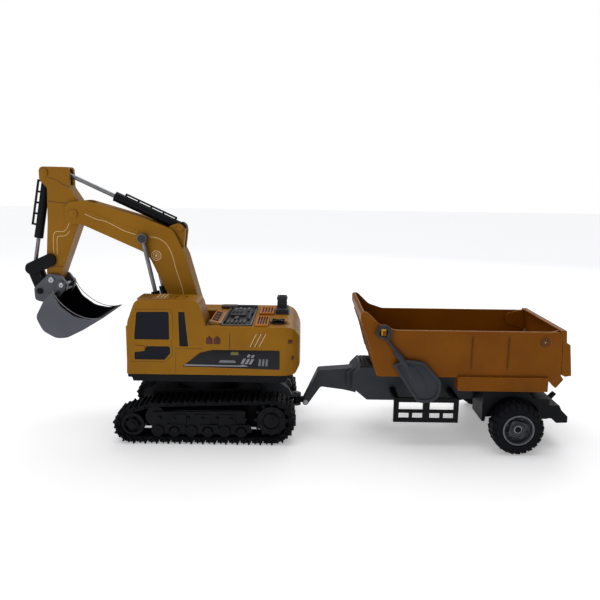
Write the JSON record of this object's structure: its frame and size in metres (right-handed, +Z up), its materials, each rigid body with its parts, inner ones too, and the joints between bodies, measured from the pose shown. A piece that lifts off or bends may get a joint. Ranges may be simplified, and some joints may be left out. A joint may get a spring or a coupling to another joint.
{
  "type": "rc excavator",
  "caption": "Radio-controlled toy crawler excavator with slewing house and jointed digging arm, hitched to a tipping dump trailer.",
  "frame": {"origin": "on the ground under the middle of the whole model's box", "axes": "+X towards the trailer's tailgate, +Y towards the excavator's right-hand side, +Z up; the bucket points to -X"},
  "size_m": [0.542, 0.152, 0.2671],
  "materials": {
    "excavator_yellow": "moulded, satin gloss",
    "trailer_orange": "moulded, satin gloss",
    "accent_orange": "moulded",
    "black_plastic": "moulded, fine grain",
    "dark_grey_plastic": "moulded, fine grain",
    "bucket_grey": "moulded, satin",
    "track_rubber": "soft, dull",
    "tyre_rubber": "soft, dull",
    "window_glass": "tinted, glossy",
    "rod_metal": "satin",
    "pin_steel": "plated",
    "rim_plastic": "moulded, satin",
    "board_green": "laminate",
    "battery_wrap": "shrink wrap"
  },
  "bodies": {
    "undercarriage": {"chassis_tub": "black_plastic", "chassis_cover": "black_plastic", "chassis_screws": "pin_steel", "drive_motors": "pin_steel", "left_drive_gearbox": "black_plastic", "right_drive_gearbox": "black_plastic", "slew_ring": "dark_grey_plastic", "hitch_bracket": "dark_grey_plastic", "tow_pin": "pin_steel", "left_track_frame": "black_plastic", "right_track_frame": "black_plastic", "left_track_belt": "track_rubber", "right_track_belt": "track_rubber"},
    "left_drive_wheel": {"left_sprocket": "dark_grey_plastic"},
    "right_drive_wheel": {"right_sprocket": "dark_grey_plastic"},
    "left_idler_wheel": {"left_idler": "dark_grey_plastic"},
    "right_idler_wheel": {"right_idler": "dark_grey_plastic"},
    "house": {"house_base": "black_plastic", "slew_retainer": "pin_steel", "house_shell": "excavator_yellow", "cab_shell": "excavator_yellow", "cab_windows": "window_glass", "roof_fittings": "dark_grey_plastic", "engine_cover": "dark_grey_plastic", "vent_grilles": "accent_orange", "exhaust_stack": "dark_grey_plastic", "battery_pack": "battery_wrap", "circuit_board": "board_green", "slew_motor": "pin_steel", "house_pins": "pin_steel"},
    "button": {"power_button": "black_plastic"},
    "boom": {"boom_left_half": "excavator_yellow", "boom_right_half": "excavator_yellow", "boom_pins": "pin_steel"},
    "boom_barrels": {"boom_cylinder_barrels": "black_plastic"},
    "boom_rods": {"boom_cylinder_rods": "rod_metal"},
    "stick_barrel": {"stick_cylinder_barrel": "black_plastic"},
    "stick_rod": {"stick_cylinder_rod": "rod_metal"},
    "stick": {"stick_left_half": "excavator_yellow", "stick_right_half": "excavator_yellow", "stick_pins": "pin_steel"},
    "bucket_barrel": {"bucket_cylinder_barrel": "black_plastic"},
    "bucket_rod": {"bucket_cylinder_rod": "rod_metal"},
    "rocker_plates": {"rocker": "black_plastic"},
    "coupler": {"coupler_link": "black_plastic"},
    "bucket": {"bucket_bracket": "bucket_grey", "bucket_shell": "bucket_grey", "bucket_pins": "pin_steel"},
    "knuckle": {"hitch_knuckle": "black_plastic"},
    "trailer": {"trailer_frame": "dark_grey_plastic", "axle_carrier": "black_plastic", "side_guards": "black_plastic", "trailer_pins": "pin_steel"},
    "left_wheel": {"left_trailer_rim": "rim_plastic", "left_trailer_tyre": "tyre_rubber"},
    "right_wheel": {"right_trailer_rim": "rim_plastic", "right_trailer_tyre": "tyre_rubber"},
    "tub": {"dump_tub": "trailer_orange"},
    "gate": {"tailgate": "trailer_orange"},
    "shovel_tool": {"shovel": "dark_grey_plastic"}
  },
  "joints": [
    {"name": "house_slew", "type": "hinge", "parent": "undercarriage", "child": "house", "pos_m": [-0.08898, 0, 0.061], "axis": [0, 0, 1], "range_deg": [-120, 120]},
    {"name": "boom_lift", "type": "hinge", "parent": "house", "child": "boom", "pos_m": [-0.10498, 0, 0.1], "axis": [0, 1, 0], "range_deg": [-25, 8]},
    {"name": "boom_barrel_swing", "type": "hinge", "parent": "house", "child": "boom_barrels", "pos_m": [-0.12798, 0, 0.094], "axis": [0, 1, 0], "range_deg": [-26.1, 8.69]},
    {"name": "boom_rod_swing", "type": "hinge", "parent": "boom", "child": "boom_rods", "pos_m": [-0.14999, 0, 0.198], "axis": [0, 1, 0], "range_deg": [-1.1, 0.69]},
    {"name": "stick_swing", "type": "hinge", "parent": "boom", "child": "stick", "pos_m": [-0.21899, 0, 0.221], "axis": [0, 1, 0], "range_deg": [-10, 32]},
    {"name": "stick_barrel_swing", "type": "hinge", "parent": "boom", "child": "stick_barrel", "pos_m": [-0.11399, 0, 0.2081], "axis": [0, 1, 0], "range_deg": [-2.11, 5.65]},
    {"name": "stick_rod_swing", "type": "hinge", "parent": "stick", "child": "stick_rod", "pos_m": [-0.22848, 0, 0.2603], "axis": [0, 1, 0], "range_deg": [-27.35, 8.89]},
    {"name": "bucket_curl", "type": "hinge", "parent": "stick", "child": "bucket", "pos_m": [-0.24449, 0, 0.1545], "axis": [0, 1, 0], "range_deg": [-8, 60]},
    {"name": "rocker_swing", "type": "hinge", "parent": "stick", "child": "rocker_plates", "pos_m": [-0.24449, 0, 0.176], "axis": [0, 1, 0], "range_deg": [-5.96, 41.42]},
    {"name": "coupler_swing", "type": "hinge", "parent": "rocker_plates", "child": "coupler", "pos_m": [-0.26599, 0, 0.165], "axis": [0, 1, 0], "range_deg": [-35.18, 5.12]},
    {"name": "bucket_barrel_swing", "type": "hinge", "parent": "stick", "child": "bucket_barrel", "pos_m": [-0.24749, 0, 0.2605], "axis": [0, 1, 0], "range_deg": [-1.05, 4.64]},
    {"name": "bucket_rod_swing", "type": "hinge", "parent": "rocker_plates", "child": "bucket_rod", "pos_m": [-0.26599, 0, 0.165], "axis": [0, 1, 0], "range_deg": [-37.28, 5.4]},
    {"name": "left_sprocket_spin", "type": "hinge", "parent": "undercarriage", "child": "left_drive_wheel", "pos_m": [-0.01948, -0.046, 0.024], "axis": [0, 1, 0], "continuous": true},
    {"name": "left_idler_spin", "type": "hinge", "parent": "undercarriage", "child": "left_idler_wheel", "pos_m": [-0.15599, -0.046, 0.0185], "axis": [0, 1, 0], "continuous": true},
    {"name": "right_sprocket_spin", "type": "hinge", "parent": "undercarriage", "child": "right_drive_wheel", "pos_m": [-0.01948, 0.046, 0.024], "axis": [0, 1, 0], "continuous": true},
    {"name": "right_idler_spin", "type": "hinge", "parent": "undercarriage", "child": "right_idler_wheel", "pos_m": [-0.15599, 0.046, 0.0185], "axis": [0, 1, 0], "continuous": true},
    {"name": "power_press", "type": "slide", "parent": "house", "child": "button", "axis": [0, 0, -1], "range_m": [0, 0.0012], "stiffness_N_per_m": 400, "springref_m": -0.0008},
    {"name": "trailer_yaw", "type": "hinge", "parent": "undercarriage", "child": "knuckle", "pos_m": [0.00502, 0, 0.028], "axis": [0, 0, 1], "range_deg": [-35, 35]},
    {"name": "trailer_pitch", "type": "hinge", "parent": "knuckle", "child": "trailer", "pos_m": [0.01452, 0, 0.027], "axis": [0, 1, 0], "range_deg": [-8, 8]},
    {"name": "left_wheel_spin", "type": "hinge", "parent": "trailer", "child": "left_wheel", "pos_m": [0.21702, -0.066, 0.0254], "axis": [0, 1, 0], "continuous": true},
    {"name": "right_wheel_spin", "type": "hinge", "parent": "trailer", "child": "right_wheel", "pos_m": [0.21702, 0.066, 0.0254], "axis": [0, 1, 0], "continuous": true},
    {"name": "tub_tip", "type": "hinge", "parent": "trailer", "child": "tub", "pos_m": [0.24202, 0, 0.0645], "axis": [0, 1, 0], "range_deg": [0, 45]},
    {"name": "gate_swing", "type": "hinge", "parent": "tub", "child": "gate", "pos_m": [0.24402, 0, 0.108], "axis": [0, 1, 0], "range_deg": [-60, 0]},
    {"name": "shovel_unhook", "type": "slide", "parent": "tub", "child": "shovel_tool", "axis": [0, -1, 0], "range_m": [0, 0.03]}
  ],
  "couplings": [
    {"joint": "boom_barrel_swing", "follows": "boom_lift", "ratio": 1.024},
    {"joint": "boom_rod_swing", "follows": "boom_lift", "ratio": 0.024},
    {"joint": "stick_barrel_swing", "follows": "stick_swing", "ratio": 0.161},
    {"joint": "stick_rod_swing", "follows": "stick_swing", "ratio": -0.839},
    {"joint": "rocker_swing", "follows": "bucket_curl", "ratio": 0.682},
    {"joint": "coupler_swing", "follows": "bucket_curl", "ratio": -0.578},
    {"joint": "bucket_barrel_swing", "follows": "bucket_curl", "ratio": 0.069},
    {"joint": "bucket_rod_swing", "follows": "bucket_curl", "ratio": -0.613},
    {"joint": "left_idler_spin", "follows": "left_sprocket_spin", "ratio": 1.4583},
    {"joint": "right_idler_spin", "follows": "right_sprocket_spin", "ratio": 1.4583}
  ]
}
